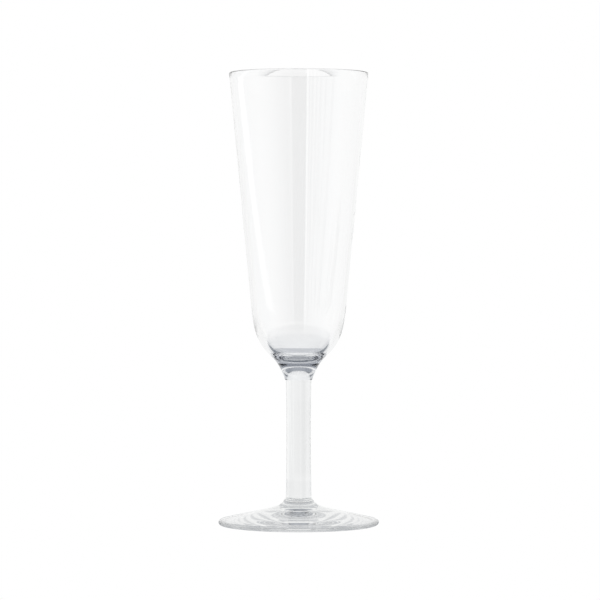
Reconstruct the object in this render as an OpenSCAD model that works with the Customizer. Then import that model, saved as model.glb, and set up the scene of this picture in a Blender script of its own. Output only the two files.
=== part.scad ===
// Champagne flute: a blown bowl, a solid collar, a drawn stem and a pressed foot, fused together.
// Every piece is turned about the Z axis. The glass stands on the plane z = 0.

/* [Bowl] */
// Height of the rim above the table
rim_height = 200; // [185:1:215]
// Outer diameter at the rim
rim_diameter = 61.6; // [56:0.2:68]
// Wall thickness at the rim
rim_wall = 1.1; // [0.8:0.1:1.6]
// Height where the straight taper turns into the round bottom
shoulder_height = 97.4; // [94:0.2:104]
// Outer diameter where the straight taper ends
shoulder_diameter = 42.2; // [40:0.2:44]
// Wall thickness where the straight taper ends
shoulder_wall = 1.5; // [1.2:0.1:2]
// Height of the lowest point inside the bowl
inside_floor = 73.8; // [73:0.2:76]
// Height of the lowest point of the bowl's own glass, on the axis
bowl_bottom = 71.4; // [70.8:0.1:72]

/* [Collar] */
// Height of the collar's upper edge
collar_top = 75.1; // [74.5:0.1:75.6]
// Diameter of the collar's upper edge
collar_diameter = 25.2; // [24:0.2:27]
// Height of the collar's lower lip
collar_bottom = 64.2; // [63:0.1:65]
// Width of the collar's lower lip, outside the stem
collar_lip = 0.35; // [0.2:0.05:0.6]

/* [Stem] */
// Diameter of the stem's head, inside the collar
stem_head_diameter = 11.3; // [10:0.1:12.4]
// Diameter at the stem's waist
stem_waist_diameter = 10.8; // [9:0.1:12]
// Height of the stem's waist
stem_waist_height = 40; // [30:1:50]
// Diameter of the stem's lower end, inside the foot
stem_end_diameter = 11.4; // [10:0.1:12.4]
// Height of the dome on the stem's head
stem_dome = 3.4; // [2:0.1:4]
// Height of the stem's lower face
stem_bottom = 9.2; // [8:0.1:9.6]
// Radius of the rounded edge round the stem's lower face
stem_round = 1; // [0.5:0.1:1.3]

/* [Foot] */
// Diameter of the foot
foot_diameter = 71; // [64:0.5:80]
// Thickness of the foot's rounded edge
foot_edge = 2.3; // [1.8:0.1:3]
// Height of the boss that holds the stem
boss_height = 11.5; // [11:0.1:14]
// Width of the boss's upper lip, outside the stem
boss_lip = 0.6; // [0.3:0.1:1]
// Width of the flat ring that the foot stands on
ring_width = 1.3; // [0.8:0.1:2.5]
// Height of the hollow under the foot, at the centre mark's edge
hollow_height = 1.8; // [1:0.1:2.6]
// Diameter of the polished mark under the foot's centre
mark_diameter = 14; // [10:0.5:18]
// Depth of the polished mark
mark_depth = 0.7; // [0.3:0.1:1.5]

/* [Hidden] */

turn_facets = 120;
glass = [0.87, 0.91, 0.93, 0.55];
thick_glass = [0.6, 0.65, 0.7, 0.75];

rim_radius = rim_diameter / 2;
shoulder_radius = shoulder_diameter / 2;
collar_radius = collar_diameter / 2;
stem_head_radius = stem_head_diameter / 2;
stem_end_radius = stem_end_diameter / 2;
foot_radius = foot_diameter / 2;
edge_radius = foot_edge / 2;

// The rim is a half-round bead, as thick as the wall.
rim_bead = rim_wall / 2;
rim_centre = [rim_radius - rim_bead, rim_height - rim_bead];

// Step from the shoulder along each side of the straight wall, for 1 mm down
outside_taper = [(shoulder_radius - rim_radius) / (rim_centre[1] - shoulder_height), -1];
inside_taper = [
    (shoulder_radius - shoulder_wall - rim_radius + rim_wall) / (rim_centre[1] - shoulder_height), -1];

// Step along the bowl's outline where it runs down into the collar, for 1 mm of its length
collar_slope = [-0.746, -0.666];

// Points on a cubic curve from a to d that leaves towards b and arrives from c
function curve(a, b, c, d, steps) =
    [for (i = [0 : steps])
        let (t = i / steps, s = 1 - t)
        s * s * s * a + 3 * s * s * t * b + 3 * s * t * t * c + t * t * t * d];

// Points on an ellipse's arc, between two angles in degrees
function arc(centre, across, up, from, to, steps) =
    [for (i = [0 : steps])
        let (angle = from + (to - from) * i / steps)
        centre + [across * cos(angle), up * sin(angle)]];

function reversed(points) = [for (i = [len(points) - 1 : -1 : 0]) points[i]];

// Outside of the bowl, from the bead down the straight taper and round to the collar's edge
bowl_outside = concat(
    [rim_centre + [rim_bead, 0]],
    curve(
        [shoulder_radius, shoulder_height],
        [shoulder_radius, shoulder_height] + 11 * outside_taper,
        [collar_radius, collar_top] - 8 * collar_slope,
        [collar_radius, collar_top],
        18));

// Inside of the bowl, from its lowest point round the nearly spherical bottom and up to the bead
inside_shoulder = [shoulder_radius - shoulder_wall, shoulder_height];
bowl_inside = concat(
    curve(
        [0, inside_floor],
        [inside_shoulder[0] * 0.66, inside_floor],
        inside_shoulder + 13.4 * inside_taper,
        inside_shoulder,
        20),
    [rim_centre - [rim_bead, 0]]);

// Face between the bowl and the collar, from the collar's edge in to the axis
bowl_seat = curve(
    [collar_radius, collar_top],
    [collar_radius - 4, collar_top - 2],
    [5, bowl_bottom],
    [0, bowl_bottom],
    12);

// Outside of the collar, from its upper edge down to its lower lip
collar_outside = curve(
    [collar_radius, collar_top],
    [collar_radius, collar_top] + 5.2 * collar_slope,
    [stem_head_radius + collar_lip + 0.95, collar_bottom + 2.9],
    [stem_head_radius + collar_lip, collar_bottom],
    16);

// Face between the stem's head and the collar, from the lip up and in to the axis
head_shoulder = collar_bottom + 1.6;
stem_head = concat(
    [[stem_head_radius, collar_bottom]],
    arc([0, head_shoulder], stem_head_radius, stem_dome, 0, 90, 14));

// Outside of the stem, from the collar's lip down to the boss
stem_side = concat(
    curve(
        [stem_head_radius, collar_bottom],
        [stem_waist_diameter / 2 + 0.02, collar_bottom - 7],
        [stem_waist_diameter / 2, stem_waist_height + 8],
        [stem_waist_diameter / 2, stem_waist_height],
        8),
    curve(
        [stem_waist_diameter / 2, stem_waist_height],
        [stem_waist_diameter / 2, stem_waist_height - 10],
        [stem_end_radius - 0.15, boss_height + 6],
        [stem_end_radius, boss_height],
        8));

// Face between the stem's lower end and the foot, from the boss's lip down and in to the axis
stem_seat = concat(
    [[stem_end_radius, boss_height]],
    arc([stem_end_radius - stem_round, stem_bottom + stem_round], stem_round, stem_round, 0, -90, 6),
    [[0, stem_bottom]]);

// Top of the foot, from the boss's lip out along the low cone to the edge
foot_edge_centre = [foot_radius - edge_radius, edge_radius];
edge_start = 72;
foot_top = curve(
    [stem_end_radius + boss_lip, boss_height],
    [stem_end_radius + boss_lip + 1.1, boss_height - 3.9],
    [12.6, 7.4],
    foot_edge_centre + edge_radius * [cos(edge_start), sin(edge_start)],
    22);
foot_rounded_edge = arc(foot_edge_centre, edge_radius, edge_radius, edge_start, -90, 10);

// Underside of the foot, from the standing ring up the shallow hollow and the polished mark to the axis
ring_inner_radius = foot_radius - edge_radius - ring_width;
foot_underside = concat(
    curve(
        [ring_inner_radius, 0],
        [ring_inner_radius - 1.5, hollow_height * 0.3],
        [ring_inner_radius - 10, hollow_height * 0.8],
        [mark_diameter / 2, hollow_height],
        12),
    arc([0, hollow_height], mark_diameter / 2, mark_depth, 0, 90, 8));

// Turns a closed outline, given as [radius, height] points, about the axis
module turned(outline) {
    rotate_extrude($fn = turn_facets) polygon(outline);
}

// Blown cup: round inside, straight taper and a fire-polished rim
module bowl() {
    color(glass)
        turned(concat(
            bowl_inside,
            arc(rim_centre, rim_bead, rim_bead, 180, 0, 10),
            bowl_outside,
            bowl_seat));
}

// Solid gather between the cup and the stem, flaring like a trumpet
module collar() {
    color(thick_glass)
        turned(concat(reversed(bowl_seat), collar_outside, stem_head));
}

// Solid rod with a domed head and a rounded lower end
module stem() {
    color(glass)
        turned(concat(reversed(stem_head), stem_side, stem_seat));
}

// Pressed low cone with a boss for the stem, a rounded edge and a hollow underside
module foot() {
    color(glass)
        turned(concat(reversed(stem_seat), foot_top, foot_rounded_edge, foot_underside));
}

bowl();
collar();
stem();
foot();
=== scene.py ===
"""Looks of the champagne flute: four pieces of clear glass, a plain pale floor and soft studio light.

Lengths are metres. Every piece is turned about the Z axis, from outlines of [radius, height] points. The
outer sizes come from the CAD frame, and the others are the same numbers as in the CAD source.
"""
import math

import bmesh
import bpy
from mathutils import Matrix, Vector


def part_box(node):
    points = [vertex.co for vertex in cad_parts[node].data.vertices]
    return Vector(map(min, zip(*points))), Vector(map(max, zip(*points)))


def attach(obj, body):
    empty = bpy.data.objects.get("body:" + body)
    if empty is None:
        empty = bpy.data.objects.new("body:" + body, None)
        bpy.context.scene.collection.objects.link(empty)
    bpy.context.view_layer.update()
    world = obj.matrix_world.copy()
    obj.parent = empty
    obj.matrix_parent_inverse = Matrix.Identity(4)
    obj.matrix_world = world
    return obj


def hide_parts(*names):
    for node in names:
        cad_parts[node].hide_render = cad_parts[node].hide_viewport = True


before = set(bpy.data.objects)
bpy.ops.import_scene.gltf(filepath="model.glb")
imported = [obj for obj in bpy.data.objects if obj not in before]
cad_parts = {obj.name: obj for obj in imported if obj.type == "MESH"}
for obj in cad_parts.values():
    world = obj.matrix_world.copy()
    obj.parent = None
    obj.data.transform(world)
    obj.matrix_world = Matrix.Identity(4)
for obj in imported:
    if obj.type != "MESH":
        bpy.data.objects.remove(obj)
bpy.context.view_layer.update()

MM = 0.001

# ---------------------------------------------------------------- sizes

BOWL_LOW, BOWL_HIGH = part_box("bowl")
COLLAR_LOW, COLLAR_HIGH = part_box("collar")
STEM_LOW, STEM_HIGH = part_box("stem")
FOOT_LOW, FOOT_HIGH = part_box("foot")

RIM_RADIUS = BOWL_HIGH[0]
RIM_WALL = 1.1 * MM
SHOULDER = Vector((21.1, 97.4)) * MM
SHOULDER_WALL = 1.5 * MM
INSIDE_FLOOR = 73.8 * MM
BOWL_BOTTOM = BOWL_LOW[2]

COLLAR_EDGE = Vector((COLLAR_HIGH[0], COLLAR_HIGH[2]))
COLLAR_SLOPE = Vector((-0.746, -0.666))
COLLAR_LIP = 0.35 * MM

HEAD_RADIUS = 5.65 * MM
HEAD_DOME = 3.4 * MM
WAIST = Vector((5.4, 40)) * MM
STEM_END_RADIUS = STEM_HIGH[0]
STEM_BOTTOM = STEM_LOW[2]
END_ROUND = 1 * MM

FOOT_RADIUS = FOOT_HIGH[0]
FOOT_EDGE_RADIUS = 1.15 * MM
FOOT_EDGE_START = 72
BOSS_TOP = FOOT_HIGH[2]
BOSS_LIP = 0.6 * MM
RING_WIDTH = 1.3 * MM
HOLLOW_HEIGHT = 1.8 * MM
MARK_RADIUS = 7 * MM
MARK_DEPTH = 0.7 * MM

# ---------------------------------------------------------------- outlines


def up(distance):
    return Vector((0, distance))


def out(distance):
    return Vector((distance, 0))


def curve(a, b, c, d, steps):
    """Points on a cubic curve from a to d that leaves towards b and arrives from c."""
    points = []
    for i in range(steps + 1):
        t = i / steps
        s = 1 - t
        points.append(s**3 * a + 3 * s * s * t * b + 3 * s * t * t * c + t**3 * d)
    return points


def arc(centre, across, height, start, end, steps):
    """Points on an ellipse's arc, between two angles in degrees."""
    points = []
    for i in range(steps + 1):
        angle = math.radians(start + (end - start) * i / steps)
        points.append(centre + Vector((across * math.cos(angle), height * math.sin(angle))))
    return points


def line(a, b, steps):
    return [a.lerp(b, i / steps) for i in range(steps + 1)]


def taper(high, low):
    """Step along the straight line from high to low, for 1 m down."""
    return (low - high) / (high.y - low.y)


RIM_BEAD = RIM_WALL / 2
RIM_CENTRE = Vector((RIM_RADIUS - RIM_BEAD, BOWL_HIGH[2] - RIM_BEAD))
RIM_OUTSIDE = RIM_CENTRE + out(RIM_BEAD)
RIM_INSIDE = RIM_CENTRE - out(RIM_BEAD)
INSIDE_SHOULDER = SHOULDER - out(SHOULDER_WALL)

bowl_inside = curve(
    up(INSIDE_FLOOR),
    up(INSIDE_FLOOR) + out(0.66 * INSIDE_SHOULDER.x),
    INSIDE_SHOULDER + 13.4 * MM * taper(RIM_INSIDE, INSIDE_SHOULDER),
    INSIDE_SHOULDER,
    48,
) + line(INSIDE_SHOULDER, RIM_INSIDE, 40)
rim = arc(RIM_CENTRE, RIM_BEAD, RIM_BEAD, 180, 0, 16)
bowl_outside = line(RIM_OUTSIDE, SHOULDER, 40) + curve(
    SHOULDER,
    SHOULDER + 11 * MM * taper(RIM_OUTSIDE, SHOULDER),
    COLLAR_EDGE - 8 * MM * COLLAR_SLOPE,
    COLLAR_EDGE,
    48,
)
bowl_seat = curve(
    COLLAR_EDGE,
    COLLAR_EDGE - out(4 * MM) - up(2 * MM),
    up(BOWL_BOTTOM) + out(5 * MM),
    up(BOWL_BOTTOM),
    24,
)

LIP_INSIDE = Vector((HEAD_RADIUS, COLLAR_LOW[2]))
LIP_OUTSIDE = LIP_INSIDE + out(COLLAR_LIP)
collar_outside = curve(
    COLLAR_EDGE,
    COLLAR_EDGE + 5.2 * MM * COLLAR_SLOPE,
    LIP_OUTSIDE + out(0.95 * MM) + up(2.9 * MM),
    LIP_OUTSIDE,
    40,
)
collar_lip = [LIP_OUTSIDE, LIP_INSIDE]
HEAD_SHOULDER = up(STEM_HIGH[2] - HEAD_DOME)
stem_head = [LIP_INSIDE] + arc(HEAD_SHOULDER, HEAD_RADIUS, HEAD_DOME, 0, 90, 28)

STEM_FOOT = Vector((STEM_END_RADIUS, BOSS_TOP))
stem_side = curve(
    LIP_INSIDE,
    Vector((WAIST.x + 0.02 * MM, LIP_INSIDE.y - 7 * MM)),
    WAIST + up(8 * MM),
    WAIST,
    24,
) + curve(
    WAIST,
    WAIST - up(10 * MM),
    STEM_FOOT - out(0.15 * MM) + up(6 * MM),
    STEM_FOOT,
    24,
)
END_CENTRE = Vector((STEM_END_RADIUS - END_ROUND, STEM_BOTTOM + END_ROUND))
stem_seat = [STEM_FOOT] + arc(END_CENTRE, END_ROUND, END_ROUND, 0, -90, 10) + [up(STEM_BOTTOM)]

BOSS_EDGE = STEM_FOOT + out(BOSS_LIP)
FOOT_EDGE_CENTRE = Vector((FOOT_RADIUS - FOOT_EDGE_RADIUS, FOOT_EDGE_RADIUS))
foot_edge = arc(FOOT_EDGE_CENTRE, FOOT_EDGE_RADIUS, FOOT_EDGE_RADIUS, FOOT_EDGE_START, -90, 18)
foot_top = curve(
    BOSS_EDGE,
    BOSS_EDGE + out(1.1 * MM) - up(3.9 * MM),
    Vector((12.6, 7.4)) * MM,
    foot_edge[0],
    56,
)
boss_lip = [STEM_FOOT, BOSS_EDGE]
RING_OUTSIDE = foot_edge[-1]
RING_INSIDE = RING_OUTSIDE - out(RING_WIDTH)
foot_ring = [RING_OUTSIDE, RING_INSIDE]
foot_underside = curve(
    RING_INSIDE,
    RING_INSIDE - out(1.5 * MM) + up(0.3 * HOLLOW_HEIGHT),
    RING_INSIDE - out(10 * MM) + up(0.8 * HOLLOW_HEIGHT),
    Vector((MARK_RADIUS, HOLLOW_HEIGHT)),
    36,
) + arc(up(HOLLOW_HEIGHT), MARK_RADIUS, MARK_DEPTH, 0, 90, 16)

# ---------------------------------------------------------------- turning

RIPPLE_DEPTH = 0.0007  # part of the radius
RIPPLES = ((3, 0.9, 17), (5, 2.1, -31), (8, 4.3, 43))  # waves a turn, shift a seed, drift a metre up
RIPPLE_FADE = 0.15  # part of a stretch over which its ripple dies out at each end
CREASE = math.radians(24)  # edges that fold more than this stay sharp
SAME_POINT = 1e-8  # points of an outline nearer than this are one
ON_AXIS = 1e-7  # points nearer the axis than this lie on it


def ripple(angle, height, seed):
    """Slight, smooth unevenness of hand-worked glass, between -1 and 1."""
    waves = [
        math.sin(count * angle + seed * shift + drift * height) for count, shift, drift in RIPPLES
    ]
    return sum(waves) / len(RIPPLES)


def outline_points(stretches):
    """Stretches end to end: [point, ripple depth, seed] rows, and the material number between each two."""
    rows, numbers = [], []
    for points, number, seed in stretches:
        for i, point in enumerate(points):
            if rows and (point - rows[-1][0]).length < SAME_POINT:
                continue
            if rows:
                numbers.append(number)
            part = i / (len(points) - 1)
            weight = min(1, part / RIPPLE_FADE, (1 - part) / RIPPLE_FADE) if seed else 0
            rows.append([point, weight * RIPPLE_DEPTH, seed])
    return rows, numbers


def ring_of(bm, point, depth, seed, segments):
    """The vertices of one turn of the outline: one on the axis, or a whole ring."""
    if point.x < ON_AXIS:
        return [bm.verts.new((0, 0, point.y))]
    ring = []
    for i in range(segments):
        angle = 2 * math.pi * i / segments
        radius = point.x * (1 + depth * ripple(angle, point.y, seed))
        ring.append(bm.verts.new((radius * math.cos(angle), radius * math.sin(angle), point.y)))
    return ring


def lathe(name, stretches, segments):
    """A closed turned mesh, from stretches that run from the axis back to it.

    A stretch is its points, its material number and the seed of its ripple, where 0 stands for no ripple.
    """
    bm = bmesh.new()
    rows, numbers = outline_points(stretches)
    rings = [ring_of(bm, point, depth, seed, segments) for point, depth, seed in rows]
    for low, high, number in zip(rings, rings[1:], numbers):
        for i in range(segments):
            j = (i + 1) % segments
            below = [low[i % len(low)], low[j % len(low)]]
            corners = below + [high[j % len(high)], high[i % len(high)]]
            face = bm.faces.new(dict.fromkeys(corners))
            face.smooth = True
            face.material_index = number
    bmesh.ops.recalc_face_normals(bm, faces=bm.faces)
    for edge in bm.edges:
        edge.smooth = edge.calc_face_angle(0) < CREASE
    mesh = bpy.data.meshes.new(name)
    bm.to_mesh(mesh)
    bm.free()
    piece = bpy.data.objects.new(name, mesh)
    bpy.context.collection.objects.link(piece)
    return piece


def backwards(points):
    return points[::-1]


# Material numbers on every piece: its own glass, and the seats where it is fused to the next piece
GLASS, SEAT = 0, 1

bowl = lathe(
    "blown_bowl",
    [(bowl_inside, GLASS, 1), (rim, GLASS, 0), (bowl_outside, GLASS, 2), (bowl_seat, SEAT, 0)],
    segments=256,
)
collar = lathe(
    "solid_collar",
    [
        (backwards(bowl_seat), SEAT, 0),
        (collar_outside, GLASS, 3),
        (collar_lip, GLASS, 0),
        (stem_head, SEAT, 0),
    ],
    segments=192,
)
stem = lathe(
    "drawn_stem",
    [(backwards(stem_head), SEAT, 0), (stem_side, GLASS, 4), (stem_seat, SEAT, 0)],
    segments=160,
)
foot = lathe(
    "pressed_foot",
    [
        (backwards(stem_seat), SEAT, 0),
        (boss_lip, GLASS, 0),
        (foot_top, GLASS, 5),
        (foot_edge, GLASS, 0),
        (foot_ring, GLASS, 0),
        (foot_underside, GLASS, 6),
    ],
    segments=256,
)

# ---------------------------------------------------------------- nodes


def node(tree, kind, inputs=(), **settings):
    """A new shader node. inputs are (socket, value) pairs; a value is a number, a colour or an output."""
    made = tree.nodes.new("ShaderNode" + kind)
    for name, value in settings.items():
        setattr(made, name, value)
    for socket, value in inputs:
        if isinstance(value, bpy.types.NodeSocket):
            tree.links.new(value, made.inputs[socket])
        else:
            made.inputs[socket].default_value = value
    return made


def calc(tree, operation, a, b=0.0):
    return node(tree, "Math", [(0, a), (1, b)], operation=operation).outputs[0]


def between(tree, value, start, end, low, high, shape="LINEAR"):
    """Value mapped from start..end to low..high, held at the ends."""
    inputs = [
        ("Value", value),
        ("From Min", start),
        ("From Max", end),
        ("To Min", low),
        ("To Max", high),
    ]
    return node(tree, "MapRange", inputs, interpolation_type=shape).outputs["Result"]


def ramp(tree, value, stops):
    """A colour ramp through (place from 0 to 1, grey or colour) stops."""
    made = node(tree, "ValToRGB", [(0, value)])
    elements = made.color_ramp.elements
    elements.remove(elements[-1])
    for i, (place, colour) in enumerate(stops):
        element = elements[0] if i == 0 else elements.new(place)
        element.position = place
        rgb = colour if isinstance(colour, tuple) else (colour, colour, colour)
        element.color = (*rgb, 1)
    return made.outputs[0]


def mixed(tree, factor, a, b, blend="MIX"):
    """Colours a and b, mixed by a factor from 0 to 1."""
    inputs = [(0, factor), (6, a), (7, b)]
    return node(tree, "Mix", inputs, data_type="RGBA", blend_type=blend).outputs[2]


def new_tree(owner):
    owner.use_nodes = True
    return owner.node_tree


# ---------------------------------------------------------------- glass


def around(tree, turns, per_metre, shift=0.0):
    """Texture coordinates on a circle, raised by per_metre for each metre of height and by shift.

    turns is the circle's radius: the larger it is, the more waves of a noise go round the glass. With a small
    per_metre the noise is stretched along the glass.
    """
    place = node(tree, "TexCoord").outputs["Object"]
    level = node(tree, "VectorMath", [(0, place), (1, (1, 1, 0))], operation="MULTIPLY").outputs[0]
    level = node(tree, "VectorMath", [(0, level)], operation="NORMALIZE").outputs[0]
    height = node(tree, "SeparateXYZ", [(0, place)]).outputs[2]
    lift = calc(tree, "ADD", calc(tree, "MULTIPLY", height, per_metre), shift)
    lift = node(tree, "CombineXYZ", [(2, lift)]).outputs[0]
    level = node(tree, "VectorMath", [(0, level), ("Scale", turns)], operation="SCALE").outputs[0]
    return node(tree, "VectorMath", [(0, level), (1, lift)], operation="ADD").outputs[0]


GLASS_INDEX = 1.52
# Noises round the glass: turns, per_metre and shift for around()
CORDS = (1.1, 1.5, 7.0)
STREAKS = (22, 3)
STREAK_PATCHES = (1.4, 4, 3.0)
SWELLS = (2.5, 30)
# Noises that are the same in every direction: their cells a metre
SMUDGES = 55
SCRATCHES = 2500
SMUDGE = 0.012  # roughness of the strongest smudges
WEAR = 0.2  # roughness of the scratched standing ring


def noise(tree, place, detail=2.0, scale=1.0):
    inputs = [("Vector", place), ("Scale", scale), ("Detail", detail)]
    return node(tree, "TexNoise", inputs).outputs[0]


def tinted(tree, height, tint, darker_colour, heights, cords):
    """The tint, going over to the darker colour between two heights, and in faint cords along the glass."""
    darker_part = between(tree, height, *heights, 0.0, 1.0, "SMOOTHSTEP")
    cord = noise(tree, around(tree, *CORDS), 1)
    cord = between(tree, cord, 0.42, 0.62, 0.0, cords, "SMOOTHSTEP")
    return mixed(tree, calc(tree, "MAXIMUM", darker_part, cord), (*tint, 1), (*darker_colour, 1))


def glass(name, tint, darker_colour, heights, cords, streaks, wave, worn=0.0):
    """Clear glass, tinted as tinted() says.

    streaks and wave are how high the fine and the broad unevenness of its surface are, in metres. worn is the
    height up to which the table has scratched it dull.
    """
    material = bpy.data.materials.new(name)
    tree = new_tree(material)
    place = node(tree, "TexCoord").outputs["Object"]
    height = node(tree, "SeparateXYZ", [(0, place)]).outputs[2]
    shader = tree.nodes["Principled BSDF"]
    tree.links.new(tinted(tree, height, tint, darker_colour, heights, cords), shader.inputs["Base Color"])
    shader.inputs["Transmission Weight"].default_value = 1
    shader.inputs["IOR"].default_value = GLASS_INDEX
    patches = noise(tree, around(tree, *STREAK_PATCHES), 0)
    patches = between(tree, patches, 0.45, 0.6, 0.0, 1.0, "SMOOTHSTEP")
    fine = calc(tree, "MULTIPLY", noise(tree, around(tree, *STREAKS), 2), patches)
    broad = noise(tree, around(tree, *SWELLS), 1)
    swell = node(tree, "Bump", [("Distance", wave), ("Height", broad)])
    bump = node(tree, "Bump", [("Distance", streaks), ("Height", fine), ("Normal", swell.outputs[0])])
    tree.links.new(bump.outputs[0], shader.inputs["Normal"])
    dull = between(tree, noise(tree, place, 4, SMUDGES), 0.58, 0.8, 0.0, SMUDGE)
    if worn:
        scratched = between(tree, noise(tree, place, 2, SCRATCHES), 0.3, 0.7, WEAR / 2, WEAR)
        low = between(tree, height, worn / 2, worn, 1.0, 0.0)
        dull = calc(tree, "MAXIMUM", dull, calc(tree, "MULTIPLY", scratched, low))
    tree.links.new(dull, shader.inputs["Roughness"])
    return material


def fused_seat():
    """The face between two fused pieces, which shows nothing."""
    material = bpy.data.materials.new("fused_seat")
    shader = new_tree(material).nodes["Principled BSDF"]
    shader.inputs["Alpha"].default_value = 0
    return material


seamless = fused_seat()
blown_glass = glass(
    "blown_glass",
    tint=(0.988, 0.989, 0.989),
    darker_colour=(0.965, 0.97, 0.975),
    heights=(88 * MM, 77 * MM),
    cords=0.4,
    streaks=0.011 * MM,
    wave=0.04 * MM,
)
# Painted shade: between 69.5 and 71.5 mm the collar goes over to a much darker grey-blue, for the dark its
# thick top shows under the bowl.
solid_glass = glass(
    "solid_glass",
    tint=(0.93, 0.94, 0.95),
    darker_colour=(0.44, 0.46, 0.5),
    heights=(69.5 * MM, 71.5 * MM),
    cords=0.1,
    streaks=0.002 * MM,
    wave=0.01 * MM,
)
# The stem's heights lie under the table, so it has its tint and its cords only.
drawn_glass = glass(
    "drawn_glass",
    tint=(0.95, 0.955, 0.955),
    darker_colour=(0.82, 0.83, 0.83),
    heights=(-10 * MM, -20 * MM),
    cords=1.0,
    streaks=0.004 * MM,
    wave=0.01 * MM,
)
pressed_glass = glass(
    "pressed_glass",
    tint=(0.97, 0.975, 0.97),
    darker_colour=(0.9, 0.91, 0.9),
    heights=(2 * MM, 9 * MM),
    cords=0.5,
    streaks=0.003 * MM,
    wave=0.01 * MM,
    worn=0.3 * MM,
)
for piece, node_name, slot, looks in (
    (bowl, "bowl", "blown_glass", blown_glass),
    (collar, "collar", "solid_glass", solid_glass),
    (stem, "stem", "drawn_glass", drawn_glass),
    (foot, "foot", "pressed_glass", pressed_glass),
):
    piece.data.materials.append(looks)
    piece.data.materials.append(seamless)
    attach(piece, "root")
    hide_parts(node_name)

# ---------------------------------------------------------------- studio

# What the glass mirrors of the far floor and, weaker, of the surroundings below the canopy: degrees to the
# right of the object's front, grey
ROUND_LIGHT = (
    (-180, 0.95),
    (-120, 0.9),
    (-75, 0.95),
    (-50, 0.7),
    (-30, 0.3),
    (-20, 0.1),
    (-8, 0.0),
    (13.7, 0.0),
    (14.1, 1.5),
    (16.5, 1.5),
    (17.5, 0.65),
    (19.5, 0.6),
    (20.2, 1.15),
    (21.8, 1.1),
    (22.6, 0.55),
    (25.5, 0.7),
    (26.2, 1.25),
    (28.5, 1.1),
    (29.2, 0.6),
    (32, 0.7),
    (33, 1.1),
    (37, 0.9),
    (38.5, 0.65),
    (41, 0.8),
    (42, 1.1),
    (46, 0.8),
    (56, 0.9),
    (75, 1.0),
    (120, 0.9),
    (180, 0.95),
)
SKY_GAP = 0.6  # how much of ROUND_LIGHT's darkness shows above the horizon
# The grey canopy over it all: where it starts, how soft its edge is, its colour over the front and elsewhere
CANOPY_START = math.radians(34)
CANOPY_EDGE = math.radians(1.5)
CANOPY_FRONT = (0.04, 0.04, 0.05, 1)
CANOPY = (0.4, 0.42, 0.46, 1)
FRONT_END = (-0.5, -0.1)  # Y of the direction, where the front's colour gives way to the other
# What the glass mirrors of the floor round its foot, a painted shadow that is grey under the foot and darker
# in a ring round it: metres from the axis, colour
FLOOR_LIGHT = (
    (0.0, (0.55, 0.56, 0.58)),
    (0.035, (0.55, 0.56, 0.58)),
    (0.05, (0.24, 0.26, 0.29)),
    (0.13, (0.24, 0.26, 0.29)),
    (0.145, (1.0, 1.0, 1.0)),
)
NEAR_FLOOR = (0.14, 0.18)  # metres from the axis, where FLOOR_LIGHT gives way to ROUND_LIGHT
# Strips along the floor, one light and five dark. Each lies in the direction of its first number less the
# second over the distance in metres, in degrees. Then come its width in degrees, the distances over which it
# starts and ends, and how much it adds to ROUND_LIGHT.
STRIPS = (
    (-122, -27, 10, (0.38, 0.5), (8, 10), 0.8),
    (110, 18, 4, (0.38, 0.45), (1.0, 1.3), -0.9),
    (96, 16, 2.5, (0.35, 0.4), (0.8, 1.0), -0.8),
    (66, 9, 2, (0.4, 0.5), (3, 4), -0.75),
    (52, 7, 1.5, (0.45, 0.55), (2, 3), -0.65),
    (40, 5, 1.5, (0.5, 0.7), (4, 6), -0.6),
)
FLOOR_RADIUS = 6
FLOOR_GAP = 0.2 * MM  # between the floor and the standing ring
WHITE = (1, 1, 1, 1)


def direction(tree, x, y):
    """Angle of the level direction x, y: radians to the right of the object's front."""
    return calc(tree, "ARCTAN2", x, calc(tree, "MULTIPLY", y, -1.0))


def round_light(tree, turn):
    """ROUND_LIGHT in a direction in radians."""
    place = between(tree, turn, -math.pi, math.pi, 0.0, 1.0)
    return ramp(tree, place, [(angle / 360 + 0.5, light) for angle, light in ROUND_LIGHT])


def strip(tree, turn, away, far, pull, width, start, end, light):
    """How much light one of STRIPS adds, at a direction and a distance on the floor."""
    bend = calc(tree, "DIVIDE", math.radians(pull), away)
    off = calc(tree, "ADD", calc(tree, "SUBTRACT", turn, math.radians(far)), bend)
    off = calc(tree, "ABSOLUTE", off)
    half = math.radians(width) / 2
    across = between(tree, off, half * 0.8, half * 1.2, light, 0.0, "SMOOTHSTEP")
    started = between(tree, away, *start, 0.0, 1.0)
    ended = between(tree, away, *end, 1.0, 0.0)
    return calc(tree, "MULTIPLY", across, calc(tree, "MULTIPLY", started, ended))


def only_mirrored(tree, light):
    """The given light on paths that the glass has mirrored at least once, and plain white on the others."""
    mirrored = calc(tree, "GREATER_THAN", node(tree, "LightPath").outputs["Glossy Depth"], 0.5)
    return mixed(tree, mirrored, WHITE, light)


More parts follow.
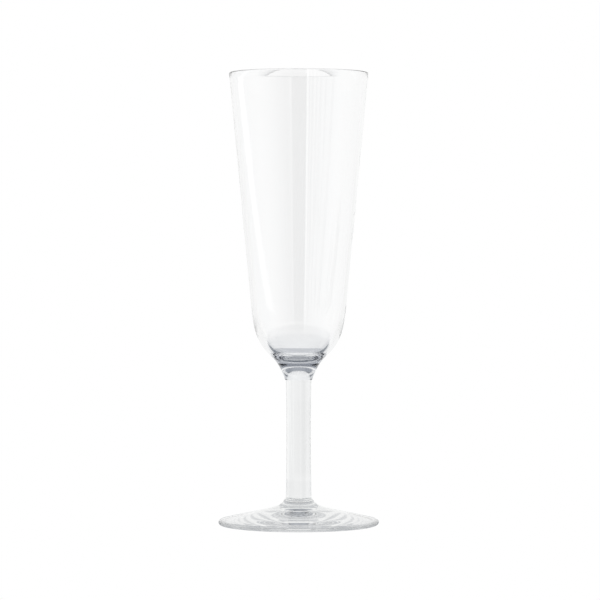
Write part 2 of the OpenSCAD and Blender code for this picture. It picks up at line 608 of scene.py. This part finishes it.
def floor_material():
    """A floor that is evenly white, and that the glass mirrors with FLOOR_LIGHT, ROUND_LIGHT and STRIPS."""
    material = bpy.data.materials.new("pale_floor")
    tree = new_tree(material)
    place = node(tree, "NewGeometry").outputs["Position"]
    away = node(tree, "VectorMath", [(0, place)], operation="LENGTH").outputs["Value"]
    x, y, _ = node(tree, "SeparateXYZ", [(0, place)]).outputs
    turn = direction(tree, x, y)
    far = round_light(tree, turn)
    for numbers in STRIPS:
        far = mixed(tree, 1.0, far, strip(tree, turn, away, *numbers), "ADD")
    outer = between(tree, away, *NEAR_FLOOR, 0.0, 1.0)
    light = mixed(tree, outer, ramp(tree, away, FLOOR_LIGHT), far)
    shader = tree.nodes["Principled BSDF"]
    shader.inputs["Base Color"].default_value = (0, 0, 0, 1)
    shader.inputs["Roughness"].default_value = 0.9
    shader.inputs["Specular IOR Level"].default_value = 0
    shader.inputs["Emission Strength"].default_value = 1
    tree.links.new(only_mirrored(tree, light), shader.inputs["Emission Color"])
    return material


def studio_world():
    """Surroundings that are white, and that the glass mirrors with the canopy above ROUND_LIGHT."""
    world = bpy.data.worlds.new("studio")
    tree = new_tree(world)
    tree.nodes.clear()
    towards = node(tree, "TexCoord").outputs["Generated"]
    x, y, z = node(tree, "SeparateXYZ", [(0, towards)]).outputs
    level = calc(tree, "ADD", calc(tree, "POWER", x, 2.0), calc(tree, "POWER", y, 2.0))
    height = calc(tree, "ARCTAN2", z, calc(tree, "SQRT", level))
    under = between(tree, height, CANOPY_START, CANOPY_START + CANOPY_EDGE, 0.0, 1.0)
    canopy = mixed(tree, between(tree, y, *FRONT_END, 0.0, 1.0), CANOPY_FRONT, CANOPY)
    sky = mixed(tree, SKY_GAP, WHITE, round_light(tree, direction(tree, x, y)))
    light = mixed(tree, under, sky, canopy)
    background = node(tree, "Background", [(0, only_mirrored(tree, light))])
    node(tree, "OutputWorld", [(0, background.outputs[0])])
    return world


floor_mesh = bpy.data.meshes.new("floor")
bm = bmesh.new()
bmesh.ops.create_circle(bm, cap_ends=True, radius=FLOOR_RADIUS, segments=64)
bm.to_mesh(floor_mesh)
bm.free()
floor = bpy.data.objects.new("floor", floor_mesh)
floor.location.z = -FLOOR_GAP
bpy.context.collection.objects.link(floor)
floor.data.materials.append(floor_material())

scene = bpy.context.scene
scene.world = studio_world()

# ---------------------------------------------------------------- camera

EYE = Vector((0.0006, -1.26, 0.123))
AIM = Vector((0.0006, 0, 0.0995))
camera_data = bpy.data.cameras.new("camera")
camera_data.lens = 170.9
camera_data.sensor_width = 36
camera_data.clip_end = 50
camera = bpy.data.objects.new("camera", camera_data)
bpy.context.collection.objects.link(camera)
camera.location = EYE
camera.rotation_euler = (AIM - EYE).to_track_quat("-Z", "Y").to_euler()
scene.camera = camera
scene.view_settings.view_transform = "Standard"
scene.cycles.max_bounces = 64
scene.cycles.transmission_bounces = 40
scene.cycles.glossy_bounces = 48
scene.cycles.transparent_max_bounces = 32
scene.cycles.use_denoising = True
